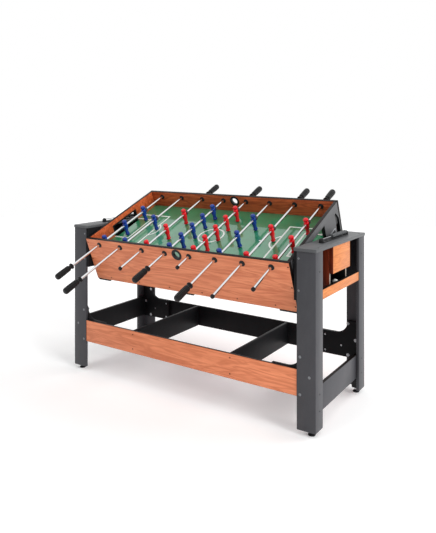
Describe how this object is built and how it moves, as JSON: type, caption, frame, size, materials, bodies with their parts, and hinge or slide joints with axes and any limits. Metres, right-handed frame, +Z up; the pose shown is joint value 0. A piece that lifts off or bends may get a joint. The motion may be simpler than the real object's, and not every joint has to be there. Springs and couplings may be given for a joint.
{
  "type": "multi game table",
  "caption": "Game table with a cabinet that swivels between two pedestals: table football with sliding, spinning rods on one face, pool with pockets on the other.",
  "frame": {"origin": "on the floor, below the middle of the table's length and of its depth over the rods' grips at rest", "axes": "+X along the table, +Y from the front side to the rear, +Z up"},
  "size_m": [1.448, 1.1016, 1.0048],
  "materials": {
    "leg_laminate": "charcoal laminate on fibreboard, satin",
    "dark_board": "black laminate on fibreboard, satin",
    "cherry_laminate": "cherry wood-grain laminate on fibreboard, satin",
    "orange_veneer": "light cherry wood-grain laminate, satin",
    "brown_veneer": "dark cherry wood-grain laminate, satin",
    "end_laminate": "dark grey laminate on fibreboard, satin",
    "green_field": "green printed field with white lines, glossy",
    "red_cloth": "red pool cloth",
    "black_plastic": "black moulded plastic",
    "grey_plastic": "grey moulded plastic",
    "white_plastic": "white moulded ball",
    "red_players": "red moulded players on a chromed rod with black grip and cap",
    "blue_players": "blue moulded players on a chromed rod with black grip and cap",
    "black_rubber": "black rubber",
    "plated_steel": "plated steel"
  },
  "bodies": {
    "pedestal_frame": {"leg_front_left": "leg_laminate", "gusset_front_left": "dark_board", "leg_rear_left": "leg_laminate", "gusset_rear_left": "dark_board", "pedestal_cap_left": "leg_laminate", "inner_panel_left": "dark_board", "pivot_hub_left": "plated_steel", "upper_end_rail_left": "cherry_laminate", "ball_box_left": "brown_veneer", "ball_box_front_left": "orange_veneer", "scorer_frame_left": "black_plastic", "cross_board_left": "dark_board", "lower_end_rail_left": "leg_laminate", "leg_front_right": "leg_laminate", "gusset_front_right": "dark_board", "leg_rear_right": "leg_laminate", "gusset_rear_right": "dark_board", "pedestal_cap_right": "leg_laminate", "inner_panel_right": "dark_board", "pivot_hub_right": "plated_steel", "upper_end_rail_right": "cherry_laminate", "ball_box_right": "brown_veneer", "ball_box_front_right": "orange_veneer", "scorer_frame_right": "black_plastic", "cross_board_right": "dark_board", "lower_end_rail_right": "leg_laminate", "long_rail_front": "cherry_laminate", "long_rail_rear": "cherry_laminate"},
    "cabinet": {"apron_front": "cherry_laminate", "apron_rear": "cherry_laminate", "end_wall_left": "end_laminate", "end_wall_right": "end_laminate", "football_field": "green_field", "pool_bed": "red_cloth", "pool_rim": "black_plastic"},
    "rod_1_slider": {"rod_1_bumper": "black_rubber"},
    "rod_1": {"rod_1_with_players": "blue_players"},
    "rod_2_slider": {"rod_2_bumper": "black_rubber"},
    "rod_2": {"rod_2_with_players": "blue_players"},
    "rod_3_slider": {"rod_3_bumper": "black_rubber"},
    "rod_3": {"rod_3_with_players": "red_players"},
    "rod_4_slider": {"rod_4_bumper": "black_rubber"},
    "rod_4": {"rod_4_with_players": "blue_players"},
    "rod_5_slider": {"rod_5_bumper": "black_rubber"},
    "rod_5": {"rod_5_with_players": "red_players"},
    "rod_6_slider": {"rod_6_bumper": "black_rubber"},
    "rod_6": {"rod_6_with_players": "blue_players"},
    "rod_7_slider": {"rod_7_bumper": "black_rubber"},
    "rod_7": {"rod_7_with_players": "red_players"},
    "rod_8_slider": {"rod_8_bumper": "black_rubber"},
    "rod_8": {"rod_8_with_players": "red_players"},
    "lock_pin_left": {"lock_pin_left": "plated_steel"},
    "scorer_beads_left": {"scorer_beads_left": "grey_plastic"},
    "levelling_foot_front_left": {"levelling_foot_front_left": "black_plastic"},
    "levelling_foot_rear_left": {"levelling_foot_rear_left": "black_plastic"},
    "lock_pin_right": {"lock_pin_right": "plated_steel"},
    "scorer_beads_right": {"scorer_beads_right": "grey_plastic"},
    "levelling_foot_front_right": {"levelling_foot_front_right": "black_plastic"},
    "levelling_foot_rear_right": {"levelling_foot_rear_right": "black_plastic"},
    "football": {"football": "white_plastic"}
  },
  "joints": [
    {"name": "cabinet_swivel", "type": "hinge", "parent": "pedestal_frame", "child": "cabinet", "pos_m": [0, 0.15249, 0.7335], "axis": [1, 0, 0], "range_deg": [-202, 28]},
    {"name": "rod_1_slide", "type": "slide", "parent": "cabinet", "child": "rod_1_slider", "axis": [0, 0.9272, 0.3746], "range_m": [0, 0.16326]},
    {"name": "rod_1_spin", "type": "hinge", "parent": "rod_1_slider", "child": "rod_1", "pos_m": [-0.518, 0.04178, 0.78961], "axis": [0, 0.9272, 0.3746], "continuous": true},
    {"name": "rod_2_slide", "type": "slide", "parent": "cabinet", "child": "rod_2_slider", "axis": [0, 0.9272, 0.3746], "range_m": [0, 0.25338]},
    {"name": "rod_2_spin", "type": "hinge", "parent": "rod_2_slider", "child": "rod_2", "pos_m": [-0.37, 0, 0.77273], "axis": [0, 0.9272, 0.3746], "continuous": true},
    {"name": "rod_3_slide", "type": "slide", "parent": "cabinet", "child": "rod_3_slider", "axis": [0, 0.9272, 0.3746], "range_m": [0, 0.16326]},
    {"name": "rod_3_spin", "type": "hinge", "parent": "rod_3_slider", "child": "rod_3", "pos_m": [-0.222, 0.04178, 0.78961], "axis": [0, 0.9272, 0.3746], "continuous": true},
    {"name": "rod_4_slide", "type": "slide", "parent": "cabinet", "child": "rod_4_slider", "axis": [0, 0.9272, 0.3746], "range_m": [0, 0.08864]},
    {"name": "rod_4_spin", "type": "hinge", "parent": "rod_4_slider", "child": "rod_4", "pos_m": [-0.074, 0.07637, 0.80359], "axis": [0, 0.9272, 0.3746], "continuous": true},
    {"name": "rod_5_slide", "type": "slide", "parent": "cabinet", "child": "rod_5_slider", "axis": [0, 0.9272, 0.3746], "range_m": [0, 0.08864]},
    {"name": "rod_5_spin", "type": "hinge", "parent": "rod_5_slider", "child": "rod_5", "pos_m": [0.074, 0.07637, 0.80359], "axis": [0, 0.9272, 0.3746], "continuous": true},
    {"name": "rod_6_slide", "type": "slide", "parent": "cabinet", "child": "rod_6_slider", "axis": [0, 0.9272, 0.3746], "range_m": [0, 0.16326]},
    {"name": "rod_6_spin", "type": "hinge", "parent": "rod_6_slider", "child": "rod_6", "pos_m": [0.222, 0.04178, 0.78961], "axis": [0, 0.9272, 0.3746], "continuous": true},
    {"name": "rod_7_slide", "type": "slide", "parent": "cabinet", "child": "rod_7_slider", "axis": [0, 0.9272, 0.3746], "range_m": [0, 0.25338]},
    {"name": "rod_7_spin", "type": "hinge", "parent": "rod_7_slider", "child": "rod_7", "pos_m": [0.37, 0, 0.77273], "axis": [0, 0.9272, 0.3746], "continuous": true},
    {"name": "rod_8_slide", "type": "slide", "parent": "cabinet", "child": "rod_8_slider", "axis": [0, 0.9272, 0.3746], "range_m": [0, 0.16326]},
    {"name": "rod_8_spin", "type": "hinge", "parent": "rod_8_slider", "child": "rod_8", "pos_m": [0.518, 0.04178, 0.78961], "axis": [0, 0.9272, 0.3746], "continuous": true},
    {"name": "lock_pin_left_pull", "type": "slide", "parent": "pedestal_frame", "child": "lock_pin_left", "axis": [-1, 0, 0], "range_m": [0, 0.014], "stiffness_N_per_m": 250, "springref_m": -0.01},
    {"name": "scorer_beads_left_slide", "type": "slide", "parent": "pedestal_frame", "child": "scorer_beads_left", "axis": [0, 1, 0], "range_m": [-0.1134, 0]},
    {"name": "levelling_foot_front_left_turn", "type": "hinge", "parent": "pedestal_frame", "child": "levelling_foot_front_left", "pos_m": [-0.688, -0.12051, 0], "axis": [0, 0, 1], "continuous": true},
    {"name": "levelling_foot_rear_left_turn", "type": "hinge", "parent": "pedestal_frame", "child": "levelling_foot_rear_left", "pos_m": [-0.688, 0.42549, 0], "axis": [0, 0, 1], "continuous": true},
    {"name": "lock_pin_right_pull", "type": "slide", "parent": "pedestal_frame", "child": "lock_pin_right", "axis": [1, 0, 0], "range_m": [0, 0.014], "stiffness_N_per_m": 250, "springref_m": -0.01},
    {"name": "scorer_beads_right_slide", "type": "slide", "parent": "pedestal_frame", "child": "scorer_beads_right", "axis": [0, 1, 0], "range_m": [-0.1134, 0]},
    {"name": "levelling_foot_front_right_turn", "type": "hinge", "parent": "pedestal_frame", "child": "levelling_foot_front_right", "pos_m": [0.688, -0.12051, 0], "axis": [0, 0, 1], "continuous": true},
    {"name": "levelling_foot_rear_right_turn", "type": "hinge", "parent": "pedestal_frame", "child": "levelling_foot_rear_right", "pos_m": [0.688, 0.42549, 0], "axis": [0, 0, 1], "continuous": true},
    {"name": "football_roll", "type": "slide", "parent": "pedestal_frame", "child": "football", "axis": [0, 1, 0], "range_m": [-0.0757, 0.0757]}
  ]
}
